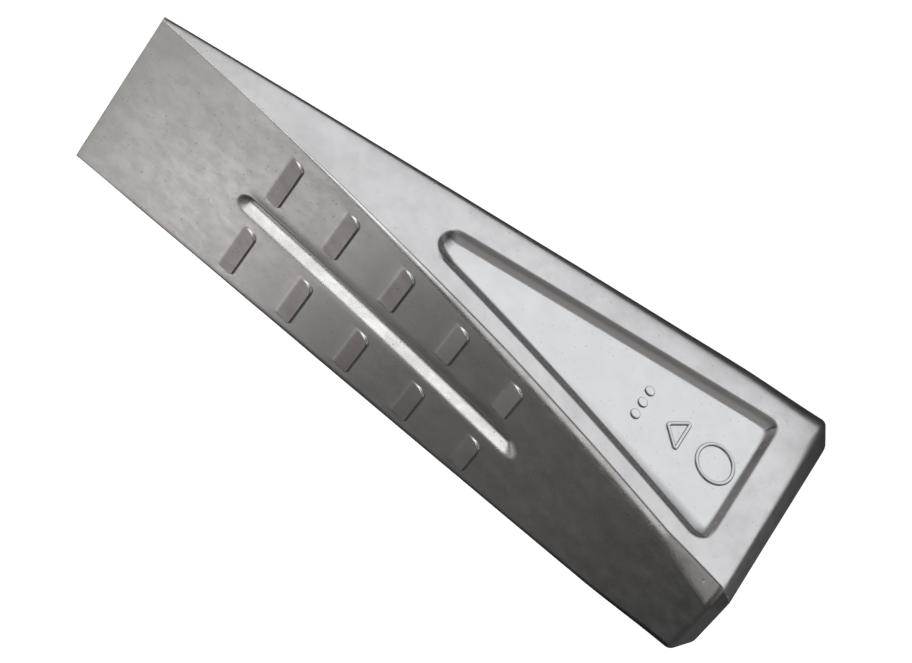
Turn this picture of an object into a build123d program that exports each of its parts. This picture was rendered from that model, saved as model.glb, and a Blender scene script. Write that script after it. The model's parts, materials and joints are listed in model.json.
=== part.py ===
from build123d import *
from math import atan, degrees
import os

# A drop-forged aluminium felling wedge. It is one solid piece of metal.
# Wedge frame: X runs from the tip to the head, Y across the width, Z through the thickness.
# The two broad faces look along +Z and -Z, the two side faces along +Y and -Y.

# Main sizes, mm
LENGTH = 178.0
TIP_THICKNESS = 1.3
HEAD_THICKNESS = 60.4
FACE_HOLLOW = 1.95        # how deep each broad face is hollowed at mid length
TIP_WIDTH = 63.8
HEAD_WIDTH = 31.1
SIDE_CROWN = 3.47         # how far each side face swells at mid length

# Rounding of the four long edges, from the tip to the head
TIP_EDGE_RADIUS = 0.5
HEAD_EDGE_RADIUS = 3.8
EDGE_RADIUS_GROWTH = 0.75
SHOULDER_RADIUS = 5.2     # at the head's shoulder, where the edges open out

# Chamfer round the striking face
HEAD_CHAMFER_LENGTH = 3.5
HEAD_CHAMFER_INSET = 4.3
END_FACE_RADIUS = 3.0     # corners of the striking face itself

# Facet that opens out along two opposite long edges towards the head's shoulder
FACET_START_X = 157.0
FACET_BROAD = 6.4         # its reach across the broad face at the shoulder
FACET_SIDE = 3.0          # its reach down the side face there

# Barbs: low ramps that rise towards the head, in two rows on each broad face
BARB_COUNT = 5
BARB_FIRST_X = 44.9       # steep end of the barb nearest the tip
BARB_PITCH = 17.15
BARB_LENGTH = 4.2
BARB_HEIGHT = 0.7
BARB_INNER_Y = 6.85
BARB_EDGE_GAP = 4.8       # from the barb's outer end to the side face
BARB_CORNER_RADII = (2.6, 1.2)  # at the steep end, towards +Y and towards -Y
BARB_BACK_DRAFT = 0.3
BARB_ROOT = 0.8           # how far a barb's own solid reaches into the face

# Groove along the middle of each broad face
GROOVE_START_X = 36.1
GROOVE_END_X = 121.0
GROOVE_WIDTH = 7.2
GROOVE_DEPTH = 1.65

# Pocket in each side face
POCKET_DEPTH = 2.0
POCKET_WALL = 2.8         # width of the sloping wall, seen square to the side
POCKET_APEX_X = 77.6
POCKET_HEAD_X = 166.5
POCKET_NEAR_GAP = 5.0     # rim left beside one broad face
POCKET_FAR_GAP = 9.2      # rim left beside the other one
POCKET_RADII = (5.0, 3.0, 5.2)  # near corner, far corner, apex
POCKET_RADIUS_DROP = 0.6  # how much a corner's radius shrinks per mm moved inwards
POCKET_LEAST_RADIUS = 0.8
POCKET_STRAIGHT = (90.0, 160.0)  # where the two long edges are measured
POCKET_OVERLAP = 1.5      # how far the cutter stands out of the face
POCKET_UNDERCUT = 0.4     # how far its walls run on below the floor
POCKET_FLOOR_RUN = 9.0    # how far the floor's curve runs on beyond both ends

# Raised mark on the pocket floor: a plain ring, a plain triangle and three dots
MARK_HEIGHT = 0.4
MARK_LINE = 1.0
RING_X = 158.0
RING_RADIUS = 5.2
TRIANGLE_X = 146.2
TRIANGLE_LENGTH = 5.6
TRIANGLE_WIDTH = 9.4
DOT_X = 136.6
DOT_RADIUS = 1.25
DOT_PITCH = 3.7
MARK_Z = 1.0              # the mark sits on the pocket's own middle line

SECTION_STEPS = (0.0, 0.06, 0.17, 0.33, 0.5, 0.67, 0.82, 0.92)
SHOULDER_X = LENGTH - HEAD_CHAMFER_LENGTH
TALL = 200.0              # taller than the part, for cutting and trimming solids
DENSITY = 2.70e-3         # aluminium, g per cubic mm


def bow(x):
    """1 at mid length, 0 at both ends."""
    u = x / LENGTH
    return 4 * u * (1 - u)


def half_thickness(x):
    taper = TIP_THICKNESS + (HEAD_THICKNESS - TIP_THICKNESS) * x / LENGTH
    return taper / 2 - FACE_HOLLOW * bow(x)


def half_width(x):
    taper = TIP_WIDTH + (HEAD_WIDTH - TIP_WIDTH) * x / LENGTH
    return taper / 2 + SIDE_CROWN * bow(x)


def edge_radius(x):
    growth = (x / LENGTH) ** EDGE_RADIUS_GROWTH
    return TIP_EDGE_RADIUS + (HEAD_EDGE_RADIUS - TIP_EDGE_RADIUS) * growth


def cross_section(x, width, thickness, radius):
    plane = Plane(origin=(x, 0, 0), x_dir=(0, 1, 0), z_dir=(1, 0, 0))
    return plane * RectangleRounded(width, thickness, radius)


def make_blank():
    """The wedge body with its rounded edges, and the chamfered head."""
    sections = []
    for u in SECTION_STEPS:
        x = u * LENGTH
        sections.append(cross_section(x, 2 * half_width(x), 2 * half_thickness(x), edge_radius(x)))
    shoulder_width = 2 * half_width(SHOULDER_X)
    shoulder_thickness = 2 * half_thickness(SHOULDER_X)
    shoulder = cross_section(SHOULDER_X, shoulder_width, shoulder_thickness, SHOULDER_RADIUS)
    sections.append(shoulder)
    body = loft(sections)
    end_face = cross_section(
        LENGTH,
        shoulder_width - 2 * HEAD_CHAMFER_INSET,
        shoulder_thickness - 2 * HEAD_CHAMFER_INSET,
        END_FACE_RADIUS,
    )
    head = loft([shoulder, end_face], ruled=True)
    return body + head


def make_facet():
    """The cutter for the facet between the +Z and +Y faces: all that lies beyond its plane."""
    width, tall = half_width(SHOULDER_X), half_thickness(SHOULDER_X)
    start = Vector(FACET_START_X, half_width(FACET_START_X), half_thickness(FACET_START_X))
    on_broad = Vector(SHOULDER_X, width - FACET_BROAD, tall)
    on_side = Vector(SHOULDER_X, width, tall - FACET_SIDE)
    outward = (on_side - start).cross(on_broad - start).normalized()
    if outward.Z < 0:
        outward = -outward
    return Plane(origin=start, z_dir=outward) * Pos(0, 0, TALL / 2) * Box(TALL, TALL, TALL)


def make_barb(x_end, side):
    """One barb of the upper broad face, in the row on the +Y side (1) or the -Y side (-1)."""
    x_start = x_end - BARB_LENGTH
    z_start = half_thickness(x_start)
    z_end = half_thickness(x_end)
    side_view = Polyline(
        (x_start - BARB_ROOT, 0, z_start - BARB_ROOT),
        (x_start, 0, z_start),
        (x_end, 0, z_end + BARB_HEIGHT),
        (x_end + BARB_BACK_DRAFT, 0, z_end - BARB_ROOT),
        close=True,
    )
    ramp = extrude(make_face(side_view), amount=TALL / 2, dir=(0, 1, 0), both=True)
    outer_y = half_width(x_end) - BARB_EDGE_GAP
    front = x_start - BARB_ROOT
    back = x_end + BARB_BACK_DRAFT
    middle_x = (front + back) / 2
    middle_y = side * (BARB_INNER_Y + outer_y) / 2
    outline = Pos(middle_x, middle_y) * Rectangle(back - front, outer_y - BARB_INNER_Y)
    for place, radius in zip((-1, 0), BARB_CORNER_RADII):
        corner = outline.vertices().group_by(Axis.X)[-1].sort_by(Axis.Y)[place]
        outline = fillet(corner, radius)
    return ramp & extrude(outline, amount=TALL / 2)


def make_groove():
    """The cutter for the upper broad face: a round bar along the hollow, with ball ends."""
    half = GROOVE_WIDTH / 2
    bar_radius = (half * half + GROOVE_DEPTH * GROOVE_DEPTH) / (2 * GROOVE_DEPTH)
    lift = bar_radius - GROOVE_DEPTH
    x_first = GROOVE_START_X + half
    x_last = GROOVE_END_X - half
    x_middle = (x_first + x_last) / 2
    points = [(x, 0, half_thickness(x) + lift) for x in (x_first, x_middle, x_last)]
    path = ThreePointArc(*points)
    start = Plane(origin=path @ 0, z_dir=path % 0)
    bar = sweep(start * Circle(bar_radius), path=path)
    ball = Sphere(bar_radius)
    return [bar, Pos(*points[0]) * ball, Pos(*points[2]) * ball]


def side_plane():
    """The plane through the pocket's two ends on the +Y face, looking outwards."""
    start = Vector(POCKET_APEX_X, half_width(POCKET_APEX_X), 0)
    end = Vector(POCKET_HEAD_X, half_width(POCKET_HEAD_X), 0)
    along = (end - start).normalized()
    outward = Vector(-along.Y, along.X, 0)
    return Plane(origin=start, x_dir=along, z_dir=outward)


def pocket_outline(inset):
    """The pocket's rounded triangle on the side plane, moved inwards by inset."""
    plane = side_plane()

    def rim(x, sign, gap):
        local = plane.to_local_coords(Vector(x, half_width(x), sign * (half_thickness(x) - gap)))
        return Vector(local.X, local.Y)

    near_side = -1 if rim(POCKET_HEAD_X, 1, POCKET_NEAR_GAP).Y < 0 else 1
    near = [rim(x, 1, POCKET_NEAR_GAP) for x in POCKET_STRAIGHT]
    far = [rim(x, -1, POCKET_FAR_GAP) for x in POCKET_STRAIGHT]

    def moved(pair, side):
        run = (pair[1] - pair[0]).normalized()
        normal = Vector(-run.Y, run.X) * side
        return pair[0] + normal * inset, run

    near_start, near_run = moved(near, -near_side)
    far_start, far_run = moved(far, near_side)
    head = rim(POCKET_HEAD_X, 1, 0).X - inset

    def meet(start, run, x):
        return start + run * ((x - start.X) / run.X)

    near_corner = meet(near_start, near_run, head)
    far_corner = meet(far_start, far_run, head)
    # The two long sides meet beyond the apex; the rounding brings it back to its place.
    cross = near_run.X * far_run.Y - near_run.Y * far_run.X
    gap = far_start - near_start
    reach = (gap.X * far_run.Y - gap.Y * far_run.X) / cross
    apex = near_start + near_run * reach
    outline = make_face(Polyline(near_corner, far_corner, apex, close=True))
    for point, radius in zip((near_corner, far_corner, apex), POCKET_RADII):
        corner = outline.vertices().sort_by_distance(point)[0]
        outline = fillet(corner, max(radius - inset * POCKET_RADIUS_DROP, POCKET_LEAST_RADIUS))
    return outline


def make_pocket():
    """The cutter for the +Y face: sloping walls over a floor that follows the swelling face."""
    slope = POCKET_WALL / POCKET_DEPTH
    plane = side_plane()
    top = plane.offset(POCKET_OVERLAP) * pocket_outline(-POCKET_OVERLAP * slope)
    depth = POCKET_DEPTH + POCKET_UNDERCUT
    bottom = plane.offset(-depth) * pocket_outline(depth * slope)
    walls = loft([bottom, top], ruled=True)
    x_low, x_high = POCKET_APEX_X - POCKET_FLOOR_RUN, POCKET_HEAD_X + POCKET_FLOOR_RUN
    ends = [(x, half_width(x) - POCKET_DEPTH) for x in (x_low, (x_low + x_high) / 2, x_high)]
    floor_line = ThreePointArc(*ends)
    rest = Polyline(ends[2], (x_high, TALL / 2), (x_low, TALL / 2), ends[0])
    above_floor = extrude(make_face([floor_line, rest]), amount=TALL / 2, both=True)
    return walls & above_floor


def make_mark():
    """The raised ring, triangle and dots on the +Y pocket's floor."""
    def standing(x, shape):
        slope = (half_width(x + 1) - half_width(x - 1)) / 2
        along = Vector(1, slope, 0).normalized()
        outward = Vector(-along.Y, along.X, 0)
        origin = Vector(x, half_width(x) - POCKET_DEPTH, MARK_Z) - outward * MARK_HEIGHT
        plane = Plane(origin=origin, x_dir=along, z_dir=outward)
        return extrude(plane * shape, amount=2 * MARK_HEIGHT)

    ring = Circle(RING_RADIUS) - Circle(RING_RADIUS - MARK_LINE)
    half = TRIANGLE_WIDTH / 2
    tip_point = (-TRIANGLE_LENGTH / 2, 0)
    triangle = make_face(
        Polyline(tip_point, (TRIANGLE_LENGTH / 2, -half), (TRIANGLE_LENGTH / 2, half), close=True)
    )
    triangle = triangle - offset(triangle, amount=-MARK_LINE)
    pieces = [standing(RING_X, ring), standing(TRIANGLE_X, triangle)]
    for step in (-1, 0, 1):
        dot = Pos(0, step * DOT_PITCH) * Circle(DOT_RADIUS)
        pieces.append(standing(DOT_X, dot))
    return pieces


def half_turn(shape):
    """The same feature on the opposite faces: the forging looks the same turned half over."""
    return Rot(180, 0, 0) * shape


def make_wedge():
    wedge = make_blank()
    for cutter in [*make_groove(), make_pocket(), make_facet()]:
        wedge -= cutter
        wedge -= half_turn(cutter)
    for i in range(BARB_COUNT):
        for side in (1, -1):
            barb = make_barb(BARB_FIRST_X + i * BARB_PITCH, side)
            wedge += barb
            wedge += half_turn(barb)
    for piece in make_mark():
        wedge += piece
        wedge += half_turn(piece)
    return wedge


def lay_down(wedge):
    """Lays the wedge on its lower broad face, which touches at the tip and at the head's
    shoulder, and puts the origin under the middle of its box."""
    rise = half_thickness(SHOULDER_X) - TIP_THICKNESS / 2
    tilt = degrees(atan(rise / SHOULDER_X))
    laid = Rot(0, -tilt, 0) * wedge
    box = laid.bounding_box()
    middle = box.center()
    return Pos(-middle.X, -middle.Y, -box.min.Z) * laid, tilt


wedge, tilt = lay_down(make_wedge())
os.makedirs("parts", exist_ok=True)
export_step(wedge, "parts/wedge_forging.step")

box = wedge.bounding_box()
print("solids", len(wedge.solids()), "volume cm3", round(wedge.volume / 1000, 2))
print("mass g", round(wedge.volume * DENSITY, 1), "tilt deg", round(tilt, 3))
print("box", [round(v, 3) for v in (*box.min, *box.max)])
striking = wedge.faces().filter_by(GeomType.PLANE).sort_by(Axis.X)[-1]
print("striking face centre", striking.center(), "normal", striking.normal_at())
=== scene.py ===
import json
import math

import bpy
import numpy as np
from mathutils import Matrix, Vector, noise


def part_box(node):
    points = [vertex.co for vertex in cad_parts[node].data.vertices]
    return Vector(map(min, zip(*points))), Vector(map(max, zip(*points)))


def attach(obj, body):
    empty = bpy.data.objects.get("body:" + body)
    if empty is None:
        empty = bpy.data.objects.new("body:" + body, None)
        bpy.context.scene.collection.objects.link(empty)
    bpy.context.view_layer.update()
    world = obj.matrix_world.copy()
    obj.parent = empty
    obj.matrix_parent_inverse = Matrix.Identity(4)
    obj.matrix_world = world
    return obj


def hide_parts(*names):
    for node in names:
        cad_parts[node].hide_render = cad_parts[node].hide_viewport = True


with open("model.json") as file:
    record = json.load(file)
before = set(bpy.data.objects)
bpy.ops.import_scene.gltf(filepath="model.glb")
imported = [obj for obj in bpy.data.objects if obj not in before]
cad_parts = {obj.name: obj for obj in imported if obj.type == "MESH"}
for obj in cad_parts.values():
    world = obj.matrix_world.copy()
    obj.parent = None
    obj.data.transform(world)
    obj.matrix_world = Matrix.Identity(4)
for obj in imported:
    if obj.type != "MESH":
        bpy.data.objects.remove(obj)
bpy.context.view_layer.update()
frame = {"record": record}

MM = 0.001

# The wedge's own frame: X from the tip to the striking face, Y across, Z through the thickness.
NODE = "wedge_forging"
LOW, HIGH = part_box(NODE)
FACE = next(m for m in frame["record"]["mounts"] if m["name"] == "striking_face")
AXIS = Vector(FACE["axis"]).normalized()
FACE_CENTRE = Vector(FACE["pos_m"])
SINE, COSINE = AXIS.z, AXIS.x
TIP_WIDTH = HIGH.y - LOW.y
TIP_THICKNESS = 1.3 * MM
# The tip's upper corner is the low X end of the box, so the length along the axis follows from it.
LENGTH = (FACE_CENTRE.x - LOW.x - TIP_THICKNESS / 2 * SINE) / COSINE

# Outline of the forging, as in the CAD part
HEAD_THICKNESS = 60.4 * MM
FACE_HOLLOW = 1.95 * MM
HEAD_WIDTH = 31.1 * MM
SIDE_CROWN = 3.47 * MM
TIP_EDGE_RADIUS = 0.5 * MM
HEAD_EDGE_RADIUS = 3.8 * MM
EDGE_RADIUS_GROWTH = 0.75       # power that the edges' radius grows by along the length
TIP_END_INSET = 0.55 * MM       # where the rings start, in from the rim of the tip's end face
TIP_END_TURN = 0.3 * MM         # reach of that rim's rounding
TIP_END_RUN = 2.0 * MM
CHAMFER_LENGTH = 3.5 * MM
CHAMFER_INSET = 4.3 * MM
CHAMFER_TURNS = (1.1 * MM, 0.7 * MM)    # reach of the rounding at the chamfer's two edges
CHAMFER_MARGINS = (1.4 * MM, 1.0 * MM)  # how far either side of it the close rings go
SHOULDER = LENGTH - CHAMFER_LENGTH
EDGE_LIMIT = 0.96               # the widest an edge can be, as a share of the smaller half side
EDGE_SHRINK = 0.55              # how much narrower an edge gets where the outline is inset
EDGE_SMALLEST = 0.02 * MM
CAP_SCALES = (0.94, 0.85, 0.72, 0.56, 0.38, 0.2)    # rings that close the striking face

# Two of the long edges have a wide lip that leans off the broad face and turns tightly onto the side.
# At the head it opens out into a corner facet. The other two edges are plainly rounded.
LIP_HALFWAY = 2.65 * MM         # the lip's width halfway along
LIP_GROWTH = 1.6                # power that it grows by along the length
LIP_SMALLEST = 0.8 * TIP_EDGE_RADIUS
LIP_LARGEST = 3.4 * MM
LIP_SIDE = 0.42                 # its reach down the side face, as a share of its width
LIP_TURN = 0.5 * MM             # radius of the tight turn
LIP_TURN_LIMIT = 0.45           # and the most that it takes of the reach
LIP_CURVE = 2                   # 2 is a full curve, 1 is flat
LIP_LEANING, LIP_TURNING = 5, 3     # steps down the leaning part and round the turn
FACET_START = 157.0 * MM
FACET_BROAD = 6.4 * MM          # the lip's width at the shoulder
FACET_SIDE = 3.0 * MM
FACET_FLATTER = 0.85            # how much less curved than the lip the facet is
ROUND_START = 150.0 * MM
ROUND_RADIUS = 5.2 * MM         # the plain edges' radius at the shoulder

BARB_COUNT = 5
BARB_FIRST = 44.9 * MM
BARB_PITCH = 17.15 * MM
BARB_LENGTH = 4.2 * MM
BARB_HEIGHT = 0.65 * MM
BARB_INNER = 6.85 * MM
BARB_GAP = 4.8 * MM
BARB_DROP = 0.6 * MM            # run of its steep walls
BARB_OVERHANG = 0.3             # share of that run outside the outline
BARB_CORNERS = (2.6 * MM, 1.2 * MM)     # at the steep end, towards +Y and towards -Y
BARB_LAST = BARB_FIRST + (BARB_COUNT - 1) * BARB_PITCH

GROOVE_START = 36.1 * MM
GROOVE_END = 121.0 * MM
GROOVE_WIDTH = 7.2 * MM
GROOVE_DEPTH = 1.65 * MM
GROOVE_FLOOR = 0.2 * MM         # half width of its flat floor
GROOVE_RIM, GROOVE_FOOT = 0.25, 0.2     # rounded shares of its walls
GROOVE_ROLL = 2 * MM            # the -Y side is softly rolled by this far off the middle,
GROOVE_SPILL = 0.6 * MM         # where it is this much wider,
GROOVE_ROLLED_RIM, GROOVE_ROLLED_FOOT = 0.07, -0.1      # and its rounded shares change by this much
GROOVE_LINES = (-0.55 * MM, 0.05 * MM)
GROOVE_LINE_RUN = 0.22 * MM
GROOVE_LINE_HEIGHT = 0.06 * MM
GROOVE_LINE_DEPTH = 0.8         # share of the groove's depth where they begin

POCKET_DEPTH = 2.0 * MM
POCKET_WALL = 2.8 * MM
POCKET_NEAR_WALL = 4.3 * MM     # the wall beside the narrower rim is less steep
POCKET_RIM, POCKET_FOOT = 0.15, 0.25    # rounded shares of its walls
POCKET_APEX = 77.6 * MM
POCKET_HEAD = 166.5 * MM
POCKET_NEAR = 5.0 * MM          # rim beside one broad face
POCKET_FAR = 9.2 * MM           # rim beside the other
POCKET_APEX_RADIUS = 4.6 * MM
POCKET_NEAR_RADIUS = 5.0 * MM
POCKET_FAR_RADIUS = 3.0 * MM
POCKET_SOFTNESS = 0.4           # how much rounder the floor's corners at the head end are, in wall widths

# Raised mark on the pocket's floor: a ring, a triangle and three dots
MARK_HEIGHT = 0.4 * MM
MARK_LINE = 1.0 * MM
MARK_FOOT = (0.8, -0.6)         # its sides end under the floor, at these shares of half width and height
MARK_Z = 1.0 * MM
RING_X, RING_RADIUS = 158.0 * MM, 5.2 * MM
TRIANGLE_X, TRIANGLE_LENGTH, TRIANGLE_WIDTH = 146.2 * MM, 5.6 * MM, 9.4 * MM
TRIANGLE_TURN = 0.9 * MM        # reach of its corners' rounding
DOT_X, DOT_RADIUS, DOT_PITCH = 136.6 * MM, 1.25 * MM, 3.7 * MM
DOT_LEVELS = (MARK_FOOT, (1.0, 0.0), (0.99, 0.35), (0.94, 0.65), (0.84, 0.88), (0.68, 0.98), (0.35, 1.0))
DOT_TOP = 0.9                   # inside this share of its radius a dot is as light as the floor, outside it has painted shade

# Slight unevenness of the whole skin: height in millimetres and waves per metre, of a slow and a quick part
RIPPLE_SLOW, RIPPLE_QUICK = (0.045, 55), (0.014, 210)
RIPPLE_SHIFT = Vector((7, 3, 1))

# Painted shade and painted highlight on the skin, and a lighter pocket floor. The material reads them from
# its
# points: the first lightens the pocket floor, the second darkens it with painted shade, the third lightens it
# with a painted highlight, and the fourth darkens the barbs' flats and the head facet with painted shade. A
# pair of lengths says where a change along the wedge starts and how long its run is.
SKIN = ("recess", "wall", "lip", "painted_flat_shade")
EDGE_SHADE = 0.75                           # painted shade on the plain edges beside the broad face
EDGE_FADE = np.array((1, 0.4))              # share of that on the broad face's first two lines
EDGE_DARKENS = (8 * MM, 12 * MM)
EDGE_LIGHTENS, EDGE_LIGHTER = (60 * MM, 60 * MM), 0.6
# Painted shade near the tip, on the lips and the side faces, and where it fades
TIP_LIGHTENS = (8 * MM, 45 * MM)
TIP_SIDE_SHADE = 0.16
# Painted shade on the head's chamfer
CHAMFER_SHADE, CHAMFER_EDGE = 0.3, 0.5 * MM
LIP_FADE = np.array((0.1, 0.6, 1, 1, 0.9, 0.4, 0.3))    # painted shade on the lip's lines, from the broad face to the side
# Painted shade on the lips: some all along, more near the tip and more again towards the head
LIP_DARKENS = (62 * MM, 28 * MM)
LIP_SHADE, LIP_TIP_SHADE, LIP_LATE_SHADE = 0.1, 0.1, 0.65
LIP_PAINTED_HIGHLIGHT = 0.3                             # painted highlight on the lip, before its painted shade darkens it
# Painted shade on the head facet
FACET_SHADE, FACET_FLAT_SHADE = 0.12, 0.88
BARB_PAINTED_SHADES = (1.0, 1.05, 1.08, 0.8, 0.25)   # painted shade on the barbs' flats: how much darker than the face, from the tip
BARB_SHADE_EDGE, BARB_SHADE_INSET = 0.4 * MM, 0.6
BARB_SHADE_RAMP = 5                          # the painted shade is full at one part in this many of the ramp
# Painted shade in and beside the groove
GROOVE_SHADE, GROOVE_SHADE_REACH, GROOVE_SHADE_EDGE = 0.8, 2.5, 0.4 * MM
GROOVE_LIGHTENS, GROOVE_LIGHTER = (45 * MM, 35 * MM), 0.7
GROOVE_CHANGES, GROOVE_LATE_SHADE = (70 * MM, 45 * MM), 0.4     # where its -Y side turns from painted highlight to painted shade
GROOVE_SHADE_LINES = ((-1.15 * MM, 0.25 * MM, 0.4), (-0.15 * MM, 0.4 * MM, 0.35))   # painted shade lines on its floor: place, run and darkness
# Painted shade on a strip outside the groove's +Y wall
STRIP_Y, STRIP_RUN, STRIP_SHADE = 4.4 * MM, 1.1 * MM, 1.05
STRIP_FADES = (4 * MM, 12 * MM)             # runs in at the tip's end and out at the head's
# Painted shade on the pocket's walls, lighter on the far wall
POCKET_SHADE, POCKET_FAR_SHADE = 0.95, 0.45
POCKET_SHADE_REACH = 7
POCKET_FAR_LOOK = (0.75, 0.25)              # how far a wall looks towards -Z before it counts as the far one
POCKET_FAR_FADE = (0.35, 0.3)               # shares of the depth over which the far wall's shade goes
MARK_SHADE = 0.9                            # painted shade on the raised mark's sides


# ---------------------------------------------------------------- shape of the surface

def smooth(t):
    t = np.clip(t, 0, 1)
    return t * t * (3 - 2 * t)


def eased(x, start, run):
    """0 up to start and 1 from a run further on, smoothly."""
    return smooth((x - start) / run)


def bell(y, place, run):
    return np.exp(-((y - place) / run) ** 2)


def bow(x):
    u = np.clip(x / LENGTH, 0, 1)
    return 4 * u * (1 - u)


def half_thickness(x):
    return (TIP_THICKNESS + (HEAD_THICKNESS - TIP_THICKNESS) * x / LENGTH) / 2 - FACE_HOLLOW * bow(x)


def half_width(x):
    return (TIP_WIDTH + (HEAD_WIDTH - TIP_WIDTH) * x / LENGTH) / 2 + SIDE_CROWN * bow(x)


def slope_of(f, x):
    step = 0.5 * MM
    return (f(x + step) - f(x - step)) / (2 * step)


def edge_radius(x):
    u = np.clip(x / LENGTH, 0, 1)
    return TIP_EDGE_RADIUS + (HEAD_EDGE_RADIUS - TIP_EDGE_RADIUS) * u ** EDGE_RADIUS_GROWTH


def lip(x):
    """The lip's width on the broad face and its reach down the side."""
    u = np.clip(x / LENGTH, 0, 1)
    broad = min(max(LIP_HALFWAY * (2 * u) ** LIP_GROWTH, LIP_SMALLEST), LIP_LARGEST)
    side = LIP_SIDE * broad
    share = np.clip((x - FACET_START) / (SHOULDER - FACET_START), 0, 1)
    return broad + (FACET_BROAD - broad) * share, side + (FACET_SIDE - side) * share


def round_edge(x):
    share = smooth((x - ROUND_START) / (SHOULDER - ROUND_START))
    radius = edge_radius(x)
    return radius + (ROUND_RADIUS - radius) * share


def inside_barb(x, y, start, end, low, high):
    """Distance into a barb's outline, a rectangle with two rounded corners at its steep end."""
    middle = (low + high) / 2
    corner = np.where(y > middle, *BARB_CORNERS)
    across = x - end + corner
    along = np.abs(y - middle) - (high - low) / 2 + corner
    outside = np.hypot(np.maximum(across, 0), np.maximum(along, 0))
    return np.minimum(corner - outside - np.minimum(np.maximum(across, along), 0), x - start)


def barbs(x, y):
    """Height of the barbs over the broad face, and the painted shade on their flats."""
    height, cover = np.zeros_like(x), np.zeros_like(x)
    for i, darkness in enumerate(BARB_PAINTED_SHADES):
        end = BARB_FIRST + i * BARB_PITCH
        start = end - BARB_LENGTH
        outer = half_width(end) - BARB_GAP
        ramp = np.clip((x - start) / BARB_LENGTH, 0, 1)
        for low, high in ((BARB_INNER, outer), (-outer, -BARB_INNER)):
            inside = inside_barb(x, y, start - BARB_LENGTH, end + BARB_DROP / 2, low, high)
            wall = smooth(inside / BARB_DROP + BARB_OVERHANG)
            height = np.maximum(height, BARB_HEIGHT * ramp * wall)
            flat_shade = smooth(inside / BARB_SHADE_EDGE - BARB_SHADE_INSET) * smooth(ramp * BARB_SHADE_RAMP)
            cover = np.maximum(cover, flat_shade * darkness)
    return height, cover


def straight_wall(t, rim, foot):
    """Rises from 0 to 1 along a straight wall whose rim and foot are rounded over those shares of it."""
    t = np.clip(t, 0, 1)
    grade = 1 / (1 - (rim + foot) / 2)
    low = grade * t * t / (2 * rim)
    middle = grade * (t - rim / 2)
    high = 1 - grade * (1 - t) ** 2 / (2 * foot)
    return np.where(t < rim, low, np.where(t < 1 - foot, middle, high))


def groove(x, y):
    """Share of the round-ended groove's depth."""
    half = GROOVE_WIDTH / 2
    nearest = np.clip(x, GROOVE_START + half, GROOVE_END - half)
    rolled = smooth(-y / GROOVE_ROLL)
    half = half + GROOVE_SPILL * rolled
    inside = half - np.hypot(x - nearest, y)
    rim, foot = GROOVE_RIM + GROOVE_ROLLED_RIM * rolled, GROOVE_FOOT + GROOVE_ROLLED_FOOT * rolled
    return straight_wall(inside / (half - GROOVE_FLOOR), rim, foot)


def groove_shade(x, y, depth):
    """Painted shade in and beside the groove: on its +Y wall, its -Y wall near the head, two lines on its
    floor, and a strip outside the +Y wall."""
    lighter = GROOVE_LIGHTER * eased(x, *GROOVE_LIGHTENS)
    on_wall = smooth((y - GROOVE_FLOOR) / GROOVE_SHADE_EDGE + 0.5)
    shade = (GROOVE_SHADE - lighter) * np.clip(GROOVE_SHADE_REACH * depth, 0, 1) * on_wall
    shade += GROOVE_LATE_SHADE * eased(x, *GROOVE_CHANGES) * depth * (y < 0)
    for place, run, darkness in GROOVE_SHADE_LINES:
        shade = np.maximum(shade, darkness * depth * bell(y, place, run))
    fade_in, fade_out = STRIP_FADES
    along = smooth((x - GROOVE_START) / fade_in) * smooth((GROOVE_END - x) / fade_out)
    strip = (STRIP_SHADE - lighter) * along * bell(y, STRIP_Y, STRIP_RUN)
    return np.maximum(shade, strip)


def groove_lines(y, depth):
    """Two faint lines along the groove's floor, left by the die."""
    return sum(bell(y, place, GROOVE_LINE_RUN) for place in GROOVE_LINES) * (depth > GROOVE_LINE_DEPTH)


def pocket_corners():
    """Centre, radius and the two ways out to the edges, for each rounded corner of the pocket."""
    lean = slope_of(half_thickness, POCKET_APEX)
    rise = math.hypot(1, lean)
    apex_x = POCKET_APEX + POCKET_APEX_RADIUS
    apex_z = half_thickness(apex_x) - POCKET_NEAR - POCKET_APEX_RADIUS * rise
    far_z = -half_thickness(apex_x) + POCKET_FAR + POCKET_APEX_RADIUS * rise
    apex = (apex_x, (apex_z + far_z) / 2, POCKET_APEX_RADIUS, (-1, -lean), (-1, lean))
    lean = slope_of(half_thickness, POCKET_HEAD)
    rise = math.hypot(1, lean)
    near_x = POCKET_HEAD - POCKET_NEAR_RADIUS
    near_z = half_thickness(near_x) - POCKET_NEAR - POCKET_NEAR_RADIUS * rise
    near = (near_x, near_z, POCKET_NEAR_RADIUS, (1, lean), (0, 1))
    far_x = POCKET_HEAD - POCKET_FAR_RADIUS
    far_z = -half_thickness(far_x) + POCKET_FAR + POCKET_FAR_RADIUS * rise
    far = (far_x, far_z, POCKET_FAR_RADIUS, (1, -lean), (0, -1))
    return apex, near, far


def inside_pocket(x, z):
    """Distance into the pocket's outline, which has two long sides and a head side with rounded corners. Then
    how far the nearest wall looks towards +Z: 1 for the near side, 0 for the head side, -1 for the far side.
    Then the gaps to the near, far and head sides in wall widths."""
    tall = half_thickness(x)
    scale = 1 / np.hypot(1, slope_of(half_thickness, x))
    near, far, head = (tall - POCKET_NEAR - z) * scale, (z + tall - POCKET_FAR) * scale, POCKET_HEAD - x
    gaps = near / POCKET_NEAR_WALL, far / POCKET_WALL, head / POCKET_WALL
    inside = np.minimum(np.minimum(near, far), head)
    aspect = np.where(inside == near, 1.0, np.where(inside == far, -1.0, 0.0))
    for cx, cz, radius, one, other in pocket_corners():
        dx, dz = x - cx, z - cz
        beyond = (dx * one[0] + dz * one[1] > 0) & (dx * other[0] + dz * other[1] > 0)
        out = np.hypot(dx, dz)
        inside = np.where(beyond, radius - out, inside)
        aspect = np.where(beyond, dz / np.maximum(out, 1e-9), aspect)
    return inside, aspect, gaps


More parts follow.
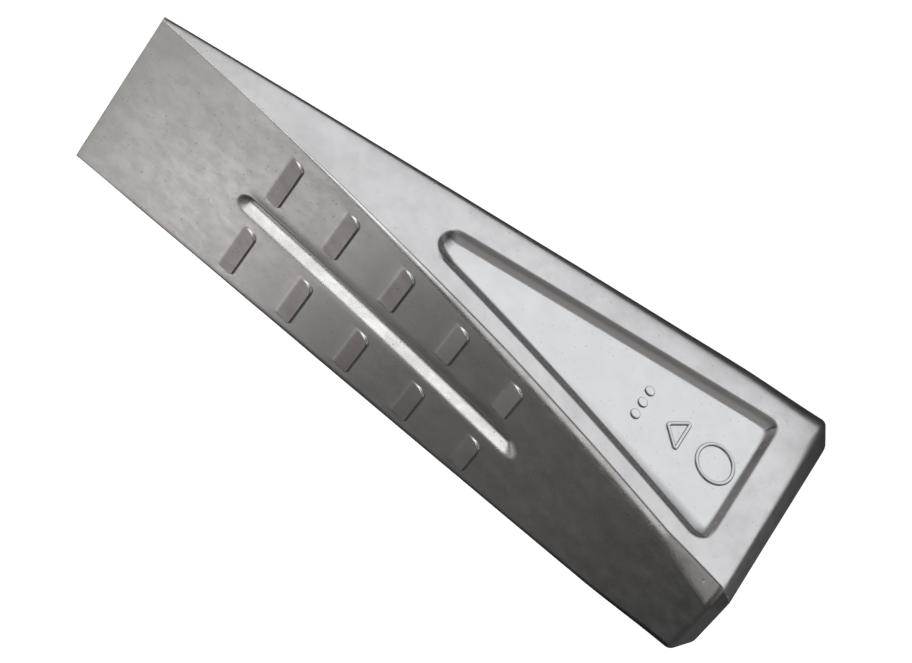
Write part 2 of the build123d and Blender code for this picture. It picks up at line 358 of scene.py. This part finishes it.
def pocket(x, z):
    """Share of the side pocket's depth, and the painted shade on its walls."""
    inside, aspect, (near, far, head) = inside_pocket(x, z)
    near_share = np.clip(aspect, 0, 1)
    far_share = eased(-aspect, *POCKET_FAR_LOOK)
    share = inside / (POCKET_WALL + (POCKET_NEAR_WALL - POCKET_WALL) * near_share)
    for side in (near, far):
        corner = np.logaddexp(-side / POCKET_SOFTNESS, -head / POCKET_SOFTNESS)
        share = np.minimum(share, -POCKET_SOFTNESS * corner)
    sink = straight_wall(share, POCKET_RIM, POCKET_FOOT)
    shade = np.clip(POCKET_SHADE_REACH * sink * (1 - sink), 0, 1)
    far_shade = POCKET_FAR_SHADE * (1 - eased(sink, *POCKET_FAR_FADE))
    return sink, shade * (POCKET_SHADE + (far_shade - POCKET_SHADE) * far_share)


# ---------------------------------------------------------------- grid that carries it
# Each step says where it ends and how many lines it holds. They are closest on the walls of the features.

def spread(start, *steps):
    """Positions from start through (end, count) steps."""
    values = [np.array([start])]
    for end, count in steps:
        first = values[-1][-1]
        values.append(first + (end - first) * np.arange(1, count + 1) / count)
    return np.concatenate(values)


def broad_columns(x, flat_down, flat_up):
    """Places across the broad face, from -flat_down to flat_up, lined up with the groove and the barbs."""
    near = float(np.clip(x, GROOVE_START, BARB_LAST + 3 * MM))
    flat = half_width(near) - edge_radius(near)
    outer = half_width(near) - BARB_GAP
    half = spread(0.0, (GROOVE_WIDTH / 2 + 0.3 * MM, 14),
                  (BARB_INNER - 0.4 * MM, 2), (BARB_INNER + 0.6 * MM, 6), (BARB_INNER + 2.6 * MM, 8),
                  (outer - 2.7 * MM, 2), (outer - 0.6 * MM, 8), (outer + 0.3 * MM, 6), (flat, 4)) / flat
    return np.concatenate([-half[:0:-1] * flat_down, half * flat_up])


def side_columns(x, flat_up, flat_down):
    """Places down the side face, from flat_up to -flat_down, lined up with the pocket's walls."""
    near = float(np.clip(x, POCKET_APEX + 1 * MM, POCKET_HEAD + 2 * MM))
    tall = half_thickness(near)
    flat = tall - edge_radius(near)
    top, bottom = tall - POCKET_NEAR, POCKET_FAR - tall
    z = spread(flat, (top + 0.5 * MM, 4), (top - POCKET_NEAR_WALL - 0.6 * MM, 14),
               (bottom + POCKET_WALL + 0.6 * MM, 12), (bottom - 0.5 * MM, 12), (-flat, 5)) / flat
    return np.where(z > 0, z * flat_up, z * flat_down)


def rounded_path(corners, reaches, steps):
    """A polyline with each inner corner replaced by a short curve that reaches that far either way."""
    corners = [np.array(p, float) for p in corners]
    path = [corners[0]]
    for before, corner, after, reach in zip(corners, corners[1:], corners[2:], reaches):
        first = corner + (before - corner) / np.linalg.norm(before - corner) * reach
        last = corner + (after - corner) / np.linalg.norm(after - corner) * reach
        for t in np.linspace(0, 1, steps):
            path.append((1 - t) ** 2 * first + 2 * t * (1 - t) * corner + t * t * last)
    return path + [corners[-1]]


def stations():
    """(x, inset) of each ring, from the tip's end face to the striking face."""
    tip = rounded_path([(0, TIP_END_INSET), (0, 0), (TIP_END_RUN, 0)], [TIP_END_TURN], 6)
    steps = [(GROOVE_START - 0.4 * MM, 18), (GROOVE_START + 3.0 * MM, 9)]
    for i in range(BARB_COUNT):
        end = BARB_FIRST + i * BARB_PITCH
        steps += [(end - BARB_LENGTH - 0.3 * MM, 6 if i else 1), (end - 3.0 * MM, 3),
                  (end - 0.4 * MM, 11), (end + 0.6 * MM, 9)]
    steps += [(GROOVE_END - 3.4 * MM, 4), (GROOVE_END + 0.4 * MM, 11),
              (POCKET_HEAD - POCKET_WALL - 4 * MM, 28), (POCKET_HEAD + 0.5 * MM, 20),
              (SHOULDER - 2.0 * MM, 8)]
    body = [(x, 0.0) for x in spread(TIP_END_RUN, *steps)[1:]]
    before, beyond = CHAMFER_MARGINS
    head = rounded_path([(SHOULDER - before, 0), (SHOULDER, 0), (LENGTH, CHAMFER_INSET),
                         (LENGTH, CHAMFER_INSET + beyond)], CHAMFER_TURNS, 7)
    return [*map(tuple, tip), *body, *map(tuple, head)]


def round_edge_points(y, z, radius, start, steps=7):
    """A quarter turn round (y, z), without its two ends."""
    turn = start - np.linspace(0, math.pi / 2, steps + 1)[1:-1]
    return [(y + radius * math.cos(a), z + radius * math.sin(a)) for a in turn]


def lip_points(w, h, broad, side, power):
    """The lip from the broad face to the side face, without its two ends. Power 1 is flat, 2 a full curve."""
    turn = min(LIP_TURN, LIP_TURN_LIMIT * side)
    lean = math.radians(40)
    for _ in range(12):         # settles on the lean at which the turn carries on from the leaning part
        run = broad - turn * (1 - math.sin(lean))
        drop = side - turn * math.cos(lean)
        lean = math.atan2(power * drop, run)
    points = []
    for t in np.arange(1, LIP_LEANING + 1) / LIP_LEANING:
        points.append((w - broad + run * t, h - drop * t ** power))
    for t in np.arange(1, LIP_TURNING) / LIP_TURNING:
        angle = lean + (math.pi / 2 - lean) * t
        points.append((w - turn * (1 - math.sin(angle)), h - side + turn * math.cos(angle)))
    return points


def ring_skin(x, inset, facet, y, dip, barb_shade, sink, shade, edge_count):
    """The SKIN values along half a ring, with painted shade and painted highlight: on the broad face, the
    lip, the side and the plain edge.
    """
    tip = 1 - eased(x, *TIP_LIGHTENS)
    late = eased(x, *LIP_DARKENS)
    broad = np.maximum(groove_shade(x, y, dip), CHAMFER_SHADE * smooth(inset / CHAMFER_EDGE))
    beside_edge = EDGE_FADE * EDGE_SHADE * eased(x, *EDGE_DARKENS)
    broad[:len(EDGE_FADE)] = beside_edge * (1 - EDGE_LIGHTER * eased(x, *EDGE_LIGHTENS))
    lips = LIP_FADE * (LIP_SHADE + LIP_TIP_SHADE * tip + LIP_LATE_SHADE * late)
    lips = lips * (1 - facet) + FACET_SHADE * facet
    side = np.maximum(shade, TIP_SIDE_SHADE * tip)
    edge = np.linspace(0, EDGE_SHADE, edge_count)
    # painted highlight on the groove's -Y flank, which gives way towards the head
    lit_flank = np.clip(4 * dip * (1 - dip), 0, 1) * (y < 0) * (1 - eased(x, *GROOVE_CHANGES))
    # the lighter pocket floor; painted shade; painted highlight; painted shade on the barbs' flats and the
    # head facet
    values = {
        "recess": (0, 0, sink, 0),
        "wall": (broad, lips, side, edge),
        "lip": (lit_flank, LIP_PAINTED_HIGHLIGHT * (1 - late), 0, 0),
        "painted_flat_shade": (barb_shade, FACET_FLAT_SHADE * facet, 0, 0),
    }
    counts = (len(y), len(lips), len(sink), edge_count)
    columns = [[np.broadcast_to(v, n) for v, n in zip(values[name], counts)] for name in SKIN]
    return np.column_stack([np.concatenate(column) for column in columns])


def ring(x, inset):
    """One closed ring round the forging, and the SKIN values of its points. Its second half is the first one
    turned over, so each broad face and each side has a lip at one edge and a plain one at the other."""
    w, h = half_width(x) - inset, half_thickness(x) - inset
    limit = EDGE_LIMIT * min(w, h)
    shrink = EDGE_SHRINK * inset
    broad, side = (max(min(v - shrink, limit), EDGE_SMALLEST) for v in lip(x))
    corner = max(min(round_edge(x) - shrink, limit), EDGE_SMALLEST)
    y = broad_columns(x, w - corner, w - broad)
    z = side_columns(x, h - side, h - corner)
    still = inset == 0          # the tip's end face and the chamfer carry no features
    facet = smooth(2 * (x - FACET_START) / (SHOULDER - FACET_START))
    rise, barb_shade = (v * still for v in barbs(np.full_like(y, x), y))
    dip = groove(np.full_like(y, x), y) * still
    sink, shade = (v * still for v in pocket(np.full_like(z, x), z))
    lift = rise - GROOVE_DEPTH * dip + GROOVE_LINE_HEIGHT * groove_lines(y, dip)
    lips = lip_points(w, h, broad, side, LIP_CURVE - FACET_FLATTER * facet)
    edge = round_edge_points(w - corner, corner - h, corner, 0)
    half = np.array([*zip(y, h + lift), *lips, *zip(w - POCKET_DEPTH * sink, z), *edge])
    skin = ring_skin(x, inset, facet, y, dip, barb_shade, sink, shade, len(edge))
    return np.concatenate([half, -half]), np.concatenate([skin, skin])


def forging_mesh():
    """Points, faces and SKIN values of the closed forging, in the wedge's own frame."""
    rings, skins = [], []
    for x, inset in stations():
        points, skin = ring(x, inset)
        rings.append(np.insert(points, 0, x, axis=1))
        skins.append(skin)
    count = len(rings[0])
    caps = [rings[-1] * (1, s, s) for s in CAP_SCALES]
    rings += caps
    plain = np.zeros((count * len(caps) + 2, len(SKIN)))
    skins = np.concatenate(skins + [plain])
    points = np.concatenate(rings + [[(rings[0][0][0], 0, 0)], [(rings[-1][0][0], 0, 0)]])
    around = np.arange(count)
    after = (around + 1) % count
    faces = []
    for i in range(len(rings) - 1):
        a, b = i * count, (i + 1) * count
        faces += np.column_stack([a + around, a + after, b + after, b + around]).tolist()
    tip, head = len(points) - 2, len(points) - 1
    end = (len(rings) - 1) * count
    faces += [(tip, int(b), int(a)) for a, b in zip(around, after)]
    faces += [(head, int(end + a), int(end + b)) for a, b in zip(around, after)]
    return points, faces, skins


def band(path, width, height):
    """A raised line with a rounded top along a closed path of (x, z) points on the pocket's floor."""
    path = np.array(path)
    ahead = np.roll(path, -1, axis=0) - np.roll(path, 1, axis=0)
    ahead /= np.linalg.norm(ahead, axis=1, keepdims=True)
    out = np.column_stack([-ahead[:, 1], ahead[:, 0]])
    profile = [(math.sin(a), math.cos(a)) for a in np.linspace(-math.pi / 2, math.pi / 2, 9)]
    profile += [MARK_FOOT, (-MARK_FOOT[0], MARK_FOOT[1])]
    points, shade = [], []
    for s, rise in profile:
        place = path + out * s * width / 2
        points.append(np.column_stack([place[:, 0], np.full(len(path), rise * height), place[:, 1]]))
        # painted shade on its sides
        shade += [MARK_SHADE * s * s] * len(path)
    points = np.concatenate(points)
    count, faces = len(path), []
    for i in range(len(profile)):
        a, b = i * count, (i + 1) % len(profile) * count
        faces += [(a + j, a + (j + 1) % count, b + (j + 1) % count, b + j) for j in range(count)]
    return points, faces, shade


def boss(x, z, radius, height, sides=28):
    """A low flat-topped dot with a rounded rim on the pocket's floor."""
    points, faces, shade = [], [], []
    for r, rise in DOT_LEVELS:
        # painted shade on its rounded side
        shade += [MARK_SHADE * (r > DOT_TOP)] * sides
        for j in range(sides):
            a = 2 * math.pi * j / sides
            points.append((x + radius * r * math.cos(a), rise * height, z + radius * r * math.sin(a)))
    points += [(x, MARK_FOOT[1] * height, z), (x, height, z)]
    shade += [0, 0]
    bottom, top = len(points) - 2, len(points) - 1
    last = (len(DOT_LEVELS) - 1) * sides
    for j in range(sides):
        k = (j + 1) % sides
        for i in range(0, last, sides):
            faces.append((i + j, i + k, i + sides + k, i + sides + j))
        faces += [(bottom, k, j), (top, last + j, last + k)]
    return np.array(points), faces, shade


def mark_shells():
    turn = np.linspace(0, 2 * math.pi, 72, endpoint=False)
    middle = RING_RADIUS - MARK_LINE / 2
    circle = [(RING_X + middle * math.cos(a), MARK_Z + middle * math.sin(a)) for a in turn]
    shells = [band(circle, MARK_LINE, MARK_HEIGHT)]
    long, wide = TRIANGLE_LENGTH / 2 - MARK_LINE / 2, TRIANGLE_WIDTH / 2 - MARK_LINE / 2
    point, base = TRIANGLE_X - long, TRIANGLE_X + long
    corners = [(point, MARK_Z), (base, MARK_Z - wide), (base, MARK_Z + wide)]
    start = ((corners[2][0] + corners[0][0]) / 2, (corners[2][1] + corners[0][1]) / 2)
    outline = rounded_path([start] + corners + [start], [TRIANGLE_TURN] * 3, 7)[:-1]
    shells.append(band(outline, MARK_LINE, MARK_HEIGHT))
    for step in (-1, 0, 1):
        shells.append(boss(DOT_X, MARK_Z + step * DOT_PITCH, DOT_RADIUS, MARK_HEIGHT))
    return shells


def on_floor(points):
    """Sets a shell that was made on a flat sheet onto the pocket's curved floor."""
    x, rise, z = points.T
    return np.column_stack([x, half_width(x) - POCKET_DEPTH + rise, z])


def to_row(points):
    """From the wedge's own frame to the row's."""
    x, y, z = points.T
    placed = np.column_stack([x * COSINE - z * SINE, y, x * SINE + z * COSINE])
    return placed + (FACE_CENTRE.x - LENGTH * COSINE, 0, FACE_CENTRE.z - LENGTH * SINE)


def new_piece(name, points, faces):
    mesh = bpy.data.meshes.new(name)
    mesh.from_pydata(points, [], faces)
    mesh.update()
    piece = bpy.data.objects.new(name, mesh)
    bpy.context.scene.collection.objects.link(piece)
    return piece


def make_forging():
    points, faces, skins = forging_mesh()
    for shell, shell_faces, shade in mark_shells():
        placed = on_floor(shell)
        # the mark takes the pocket floor's lighter tone, with painted shade on its sides
        skin = np.column_stack([np.ones(len(shell)), shade, np.zeros((len(shell), 2))])
        for turned in (placed, placed * (1, -1, -1)):
            faces += [tuple(i + len(points) for i in face) for face in shell_faces]
            points = np.concatenate([points, turned])
            skins = np.concatenate([skins, skin])
    piece = new_piece("forging", to_row(points).tolist(), faces)
    mesh = piece.data
    mesh.polygons.foreach_set("use_smooth", [True] * len(mesh.polygons))
    for name, values in zip(SKIN, skins.T):
        mesh.attributes.new(name, "FLOAT", "POINT").data.foreach_set("value", values)
    ripple(mesh)
    return piece


def ripple(mesh):
    """The slight unevenness of a forged skin."""
    count = len(mesh.vertices)
    places, normals = np.empty(count * 3), np.empty(count * 3)
    mesh.vertices.foreach_get("co", places)
    mesh.vertex_normals.foreach_get("vector", normals)
    places, normals = places.reshape(-1, 3), normals.reshape(-1, 3)
    (slow, slow_waves), (quick, quick_waves) = RIPPLE_SLOW, RIPPLE_QUICK
    heights = []
    for place in places:
        point = Vector(place)
        swell, shiver = noise.noise(point * slow_waves), noise.noise(point * quick_waves + RIPPLE_SHIFT)
        heights.append(slow * swell + quick * shiver)
    moved = places + normals * (np.array(heights) * MM)[:, None]
    mesh.vertices.foreach_set("co", moved.ravel())
    mesh.update()


# ---------------------------------------------------------------- material

METAL, METAL_LIGHTER = (0.525, 0.52, 0.515), (0.595, 0.59, 0.585)      # the ends of the soft clouding
PATCH_METAL = (0.49, 0.485, 0.485)
POCKET_METAL = (0.655, 0.66, 0.665)
# colour of the painted shade on pocket and groove walls, lips, plain edges, chamfer and mark sides
PAINTED_SHADE_METAL = (0.125, 0.117, 0.112)
# colour of the painted shade on the barbs' flats and the head facet
PAINTED_FLAT_SHADE_METAL = (0.262, 0.242, 0.238)
PIT_METAL = (0.2, 0.195, 0.19)
DENT_METAL = (0.25, 0.24, 0.23)
# colour of the painted highlight on the lips and the groove's lit flank
PAINTED_HIGHLIGHT_METAL = (0.70, 0.70, 0.705)
SCUFF_METAL = (0.72, 0.72, 0.725)
ROUGHNESS = (0.28, 0.36)                # from patch to patch
FINE_ROUGHNESS, LIP_ROUGHNESS = 0.06, 0.08      # added by the fine texture and on lips
PAINTED_SHADE_GLOSS = 0.1                        # taken off where shade is painted

# Textures: how many to the metre, and how deep the ones that show in the relief are
CLOUD_SCALE, PATCH_SCALE = 45, 210
GRAIN_SCALE, GRAIN_DEPTH = 2600, 0.005 * MM
FINE_SCALE, FINE_DEPTH = 900, 0.010 * MM
PIT_SCALE, DENT_SCALE, PIT_DEPTH = 900, 190, 0.030 * MM
SCUFF_STRETCH, SCUFF_DEPTH = (60, 2600, 2600), 0.006 * MM
SCUFF_TURNS = ((0.3, 0.2, 0.5), (1.1, -0.4, 2.0))


def set_inputs(node, values):
    for name, value in values.items():
        node.inputs[name].default_value = value


class Nodes:
    """Short forms for building a node tree."""

    def __init__(self, tree):
        self.tree = tree
        self.place = tree.nodes.new("ShaderNodeTexCoord").outputs["Object"]

    def link(self, source, socket):
        if isinstance(source, (int, float)):
            socket.default_value = source
        else:
            self.tree.links.new(source, socket)

    def math(self, operation, a, b=0.0, clamp=False):
        node = self.tree.nodes.new("ShaderNodeMath")
        node.operation = operation
        node.use_clamp = clamp
        self.link(a, node.inputs[0])
        self.link(b, node.inputs[1])
        return node.outputs[0]

    def span(self, value, low, high, to_low=0.0, to_high=1.0):
        """Maps low..high to to_low..to_high, smoothly and clamped."""
        node = self.tree.nodes.new("ShaderNodeMapRange")
        node.interpolation_type = "SMOOTHSTEP"
        self.link(value, node.inputs["Value"])
        set_inputs(node, {"From Min": low, "From Max": high, "To Min": to_low, "To Max": to_high})
        return node.outputs[0]

    def stretched(self, scale, turn=(0, 0, 0)):
        node = self.tree.nodes.new("ShaderNodeMapping")
        set_inputs(node, {"Scale": scale, "Rotation": turn})
        self.tree.links.new(self.place, node.inputs["Vector"])
        return node.outputs[0]

    def noise(self, scale, detail=2.0, roughness=0.5, place=None):
        node = self.tree.nodes.new("ShaderNodeTexNoise")
        self.tree.links.new(place or self.place, node.inputs["Vector"])
        set_inputs(node, {"Scale": scale, "Detail": detail, "Roughness": roughness})
        return node.outputs["Fac"]

    def cells(self, scale):
        """Distance to the nearest random point, and that point's own random value."""
        node = self.tree.nodes.new("ShaderNodeTexVoronoi")
        self.tree.links.new(self.place, node.inputs["Vector"])
        node.inputs["Scale"].default_value = scale
        split = self.tree.nodes.new("ShaderNodeSeparateColor")
        self.tree.links.new(node.outputs["Color"], split.inputs[0])
        return node.outputs["Distance"], split.outputs[0]

    def blend(self, share, first, second):
        node = self.tree.nodes.new("ShaderNodeMix")
        node.data_type = "RGBA"
        self.link(share, node.inputs["Factor"])
        for socket, colour in zip((node.inputs[6], node.inputs[7]), (first, second)):
            if isinstance(colour, tuple):
                socket.default_value = (*colour, 1)
            else:
                self.tree.links.new(colour, socket)
        return node.outputs[2]

    def attribute(self, name):
        node = self.tree.nodes.new("ShaderNodeAttribute")
        node.attribute_name = name
        return node.outputs["Fac"]

    def bump(self, height, depth, under=None):
        node = self.tree.nodes.new("ShaderNodeBump")
        node.inputs["Distance"].default_value = depth
        self.tree.links.new(height, node.inputs["Height"])
        if under:
            self.tree.links.new(under, node.inputs["Normal"])
        return node.outputs[0]


def new_material(name, values):
    """A material, and its shader with those values on its inputs."""
    material = bpy.data.materials.new(name)
    material.use_nodes = True
    shader = material.node_tree.nodes["Principled BSDF"]
    set_inputs(shader, values)
    return material, shader


def forged_aluminium():
    """Blasted aluminium: fine grain, soft clouding, sparse pits, and a few scuffs from handling. The skin's
    points add a lighter pocket floor, painted shade and painted highlight.
    """
    material, shader = new_material("forged_aluminium", {"Metallic": 1.0})
    n = Nodes(material.node_tree)

    clouds = n.noise(CLOUD_SCALE, 4, 0.6)
    patches = n.noise(PATCH_SCALE, 4, 0.65)
    grain = n.noise(GRAIN_SCALE, 2, 0.6)
    fine = n.noise(FINE_SCALE, 3, 0.65)
    distance, pick = n.cells(PIT_SCALE)
    pit = n.math("MULTIPLY", n.span(distance, 0.08, 0.2, 1, 0), n.span(pick, 0.72, 0.8))
    distance, pick = n.cells(DENT_SCALE)
    dent = n.math("MULTIPLY", n.span(distance, 0.03, 0.12, 1, 0), n.span(pick, 0.8, 0.9))
    scuffs = 0
    for turn in SCUFF_TURNS:
        streak = n.noise(1, 1, 0.4, n.stretched(SCUFF_STRETCH, turn))
        scuffs = n.math("MAXIMUM", scuffs, n.span(streak, 0.66, 0.74))
    # the lighter pocket floor, painted shade, painted highlight, and painted shade on the barbs' flats and
    # the head facet
    recess, wall, painted_highlight, painted_flat_shade = (n.attribute(name) for name in SKIN)

    base = n.blend(n.span(clouds, 0.3, 0.7), METAL, METAL_LIGHTER)
    base = n.blend(n.span(patches, 0.35, 0.75, 0, 0.5), base, PATCH_METAL)
    base = n.blend(n.math("MULTIPLY", recess, 0.7), base, POCKET_METAL)
    # painted shade
    base = n.blend(wall, base, PAINTED_SHADE_METAL)
    # painted shade on the flats, dark pits and dents, painted highlight, and scuffs
    for cover, strength, colour in ((painted_flat_shade, 0.92, PAINTED_FLAT_SHADE_METAL), (pit, 0.3, PIT_METAL), (dent, 0.3, DENT_METAL),
                                    (painted_highlight, 0.5, PAINTED_HIGHLIGHT_METAL), (scuffs, 0.15, SCUFF_METAL)):
        base = n.blend(n.math("MULTIPLY", cover, strength), base, colour)
    n.link(base, shader.inputs["Base Color"])

    rough = n.math("ADD", n.span(patches, 0.3, 0.7, *ROUGHNESS), n.math("MULTIPLY", fine, FINE_ROUGHNESS))
    rough = n.math("ADD", rough, n.math("MULTIPLY", painted_highlight, LIP_ROUGHNESS))
    rough = n.math("SUBTRACT", rough, n.math("MULTIPLY", wall, PAINTED_SHADE_GLOSS))
    n.link(rough, shader.inputs["Roughness"])

    relief = n.bump(fine, FINE_DEPTH)
    relief = n.bump(grain, GRAIN_DEPTH, relief)
    relief = n.bump(n.math("SUBTRACT", 1.0, n.math("ADD", pit, dent)), PIT_DEPTH, relief)
    relief = n.bump(n.math("SUBTRACT", 1.0, scuffs), SCUFF_DEPTH, relief)
    n.link(relief, shader.inputs["Normal"])
    return material


# ---------------------------------------------------------------- studio

FLOOR_SIDE = 6.0                        # half the floor's side
FLOOR_COLOUR = (0.3, 0.3, 0.3, 1)
FLOOR_GLOW, FLOOR_GLOW_STRENGTH = (0.985, 1.0, 1.03, 1), 1.03

# The feathered card, and the dark skirting under it, in the row's frame. A fade runs from one place to
# another, and its last two numbers are the glow at each or the share of it that is left.
CARD_Y = -0.12
CARD_LEFT, CARD_RIGHT = -0.28, 0.08
CARD_LOW, CARD_HIGH = 0.03, 0.28
CARD_COLOUR = (1, 0.965, 0.94, 1)
CARD_GLOW = (-0.092, -0.05, 1.54, 0)
CARD_TAIL_END, CARD_TAIL_RISE = 0.055, 10           # a faint tail goes on towards the head
CARD_TAIL_POWER, CARD_TAIL_GLOW = 0.8, 0.18
CARD_LEFT_FADE = (-0.135, -0.085, 0.52, 1)
CARD_DIMMING = (0.06, 0.12, 0.85, 0.55)
CARD_BOTTOM_FADE = (0.035, 0.06, 0, 1)
CARD_TOP_FADE = (0.16, 0.21, 1, 0)
SKIRTING_RIGHT = 0.10

FLAG_LIFT = 0.5 * MM                    # off the floor
FLAG_GAP = 2 * MM                       # between the head and the flag past it
FLAG_LENGTH, FLAG_BACK, FLAG_FRONT = 0.5, -0.6, 0.032
FLAG_MARGIN = 1.6                       # of the flag under the wedge, in edge radii
FLAG_STEPS = 12
STANDING_FLAG = (0.04, 0.8, -0.35)      # left, right and Y
STANDING_FLAG_HIGH = 0.2
FLAG_COLOUR = (0.13, 0.13, 0.13, 1)

ROOM_BEHIND = (0.25, (0.05, 0.048, 0.047, 1))       # place from -Y to +Y, and colour
ROOM_IN_FRONT = (0.75, (0.30, 0.29, 0.28, 1))

CAMERA_RISE = math.radians(33.915)      # above the ground
CAMERA_SWING = math.radians(-8.716)     # from +Y towards +X
CAMERA_ROLL = math.radians(-157.133)    # about the line of sight
CAMERA_DISTANCE = 7.62                  # in lengths of the wedge
CAMERA_AIM = (0.0199, -0.0197)          # off the wedge's middle, to the right and up, in lengths of the wedge
CAMERA_LENS = 236.7
CAMERA_SENSOR = 36


def softbox(name, place, aim, size, power):
    light = bpy.data.lights.new(name, "AREA")
    light.shape = "RECTANGLE"
    light.size, light.size_y = size
    light.energy = power
    lamp = bpy.data.objects.new(name, light)
    lamp.location = place
    lamp.rotation_euler = (Vector(aim) - Vector(place)).to_track_quat("-Z", "Y").to_euler()
    lamp.visible_camera = False
    bpy.context.scene.collection.objects.link(lamp)


def flat_card(left, right, back, front, z):
    """Corners of a card that lies flat."""
    return [(left, back, z), (right, back, z), (right, front, z), (left, front, z)]


def standing_card(left, right, y, low, high):
    """Corners of an upright card that faces Y."""
    return [(left, y, low), (right, y, low), (right, y, high), (left, y, high)]


def only_in_reflections(card):
    card.visible_camera = card.visible_diffuse = card.visible_shadow = False


def make_floor():
    """A pale floor lit from within, like a product table, so the wedge throws hardly any shadow."""
    corners = flat_card(-FLOOR_SIDE, FLOOR_SIDE, -FLOOR_SIDE, FLOOR_SIDE, 0)
    floor = new_piece("floor", corners, [(0, 1, 2, 3)])
    floor.location.z = LOW.z
    material, _ = new_material("pale_floor", {
        "Base Color": FLOOR_COLOUR, "Emission Color": FLOOR_GLOW, "Emission Strength": FLOOR_GLOW_STRENGTH,
        "Roughness": 0.9, "Specular IOR Level": 0.0})
    floor.data.materials.append(material)
    return floor


def make_flags():
    """Dark cards that only reflections see: flat on the floor under the wedge and past its head, where they
    are painted shadow on the glowing floor, and standing behind the head and under the feathered card."""
    bottom = LOW.z + FLAG_LIFT
    head = HIGH.x + FLAG_GAP
    past_head = flat_card(head, HIGH.x + FLAG_LENGTH, FLAG_BACK, FLAG_FRONT, bottom)
    front = []
    for x in (LENGTH * i / FLAG_STEPS for i in range(FLAG_STEPS + 1)):
        y = half_width(x) + FLAG_MARGIN * edge_radius(x)
        front.append((FACE_CENTRE.x - (LENGTH - x) * COSINE, y, bottom))
    front.append((head, front[-1][1], bottom))
    under = [(front[0][0], -TIP_WIDTH / 2, bottom)] + front + [(front[-1][0], -HEAD_WIDTH / 2, bottom)]
    standing = standing_card(*STANDING_FLAG, LOW.z, STANDING_FLAG_HIGH)
    skirting = standing_card(CARD_LEFT, SKIRTING_RIGHT, CARD_Y, LOW.z, CARD_LOW)
    points, faces = [], []
    for outline in (past_head, under, standing, skirting):
        faces.append(tuple(range(len(points), len(points) + len(outline))))
        points += outline
    flags = new_piece("flags", points, faces)
    only_in_reflections(flags)
    material, _ = new_material("black_card", {
        "Base Color": FLAG_COLOUR, "Roughness": 1.0, "Specular IOR Level": 0.0})
    flags.data.materials.append(material)


def make_gradient_card():
    """A feathered card behind the wedge, which the upper broad face reflects: bright at the tip and dark at
    the head."""
    corners = standing_card(CARD_LEFT, CARD_RIGHT, 0, CARD_LOW, CARD_HIGH)
    card = new_piece("feathered_card", corners, [(0, 1, 2, 3)])
    card.location.y = CARD_Y
    only_in_reflections(card)
    material, shader = new_material("feathered_card", {
        "Base Color": (0, 0, 0, 1), "Emission Color": CARD_COLOUR})
    n = Nodes(material.node_tree)
    split = material.node_tree.nodes.new("ShaderNodeSeparateXYZ")
    n.link(n.place, split.inputs[0])
    across, up = split.outputs["X"], split.outputs["Z"]
    tail = n.math("MULTIPLY", n.math("SUBTRACT", CARD_TAIL_END, across), CARD_TAIL_RISE, clamp=True)
    tail = n.math("MULTIPLY", n.math("POWER", tail, CARD_TAIL_POWER), CARD_TAIL_GLOW)
    glow = n.math("ADD", n.span(across, *CARD_GLOW), tail)
    glow = n.math("MULTIPLY", glow, n.span(across, *CARD_LEFT_FADE))
    for fade in (CARD_DIMMING, CARD_BOTTOM_FADE, CARD_TOP_FADE):
        glow = n.math("MULTIPLY", glow, n.span(up, *fade))
    n.link(glow, shader.inputs["Emission Strength"])
    card.data.materials.append(material)


def make_world():
    """A room that is darker behind the wedge (-Y) than in front of it."""
    world = bpy.data.worlds.new("room")
    bpy.context.scene.world = world
    world.use_nodes = True
    nodes, links = world.node_tree.nodes, world.node_tree.links
    place = nodes.new("ShaderNodeTexCoord")
    split = nodes.new("ShaderNodeSeparateXYZ")
    ramp = nodes.new("ShaderNodeValToRGB")
    shift = nodes.new("ShaderNodeMapRange")
    set_inputs(shift, {"From Min": -1.0, "From Max": 1.0})
    links.new(place.outputs["Generated"], split.inputs[0])
    links.new(split.outputs["Y"], shift.inputs["Value"])
    links.new(shift.outputs[0], ramp.inputs["Fac"])
    links.new(ramp.outputs["Color"], nodes["Background"].inputs["Color"])
    for element, (position, colour) in zip(ramp.color_ramp.elements, (ROOM_BEHIND, ROOM_IN_FRONT)):
        element.position = position
        element.color = colour


def make_camera():
    """Far away in front of the wedge's side, rolled so that the tip is up on the left."""
    level_share = math.cos(CAMERA_RISE)
    toward = Vector((math.sin(CAMERA_SWING) * level_share, math.cos(CAMERA_SWING) * level_share,
                     math.sin(CAMERA_RISE)))
    level = Vector((0, 0, 1)).cross(toward).normalized()
    right = Matrix.Rotation(CAMERA_ROLL, 3, toward) @ level
    up = toward.cross(right)
    middle = FACE_CENTRE - AXIS * LENGTH / 2
    aim = middle + (right * CAMERA_AIM[0] + up * CAMERA_AIM[1]) * LENGTH
    camera = bpy.data.cameras.new("camera")
    camera.sensor_width = CAMERA_SENSOR
    camera.lens = CAMERA_LENS
    camera.clip_end = 20
    view = bpy.data.objects.new("camera", camera)
    turn = Matrix((right, up, toward)).transposed().to_4x4()
    view.matrix_world = Matrix.Translation(aim + toward * CAMERA_DISTANCE * LENGTH) @ turn
    bpy.context.scene.collection.objects.link(view)
    bpy.context.scene.camera = view


forging = make_forging()
forging.data.materials.append(forged_aluminium())
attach(forging, "root")
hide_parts(NODE)

floor = make_floor()
make_camera()
make_world()
softbox("key", place=(-0.33, 0.07, 0.70), aim=(0, 0, 0.02), size=(0.42, 0.58), power=1.75)
softbox("fill", place=(2.0, 0.2, 1.8), aim=(0, 0, 0), size=(2.0, 2.0), power=5)
make_gradient_card()
make_flags()
bpy.context.scene.view_settings.view_transform = "Standard"
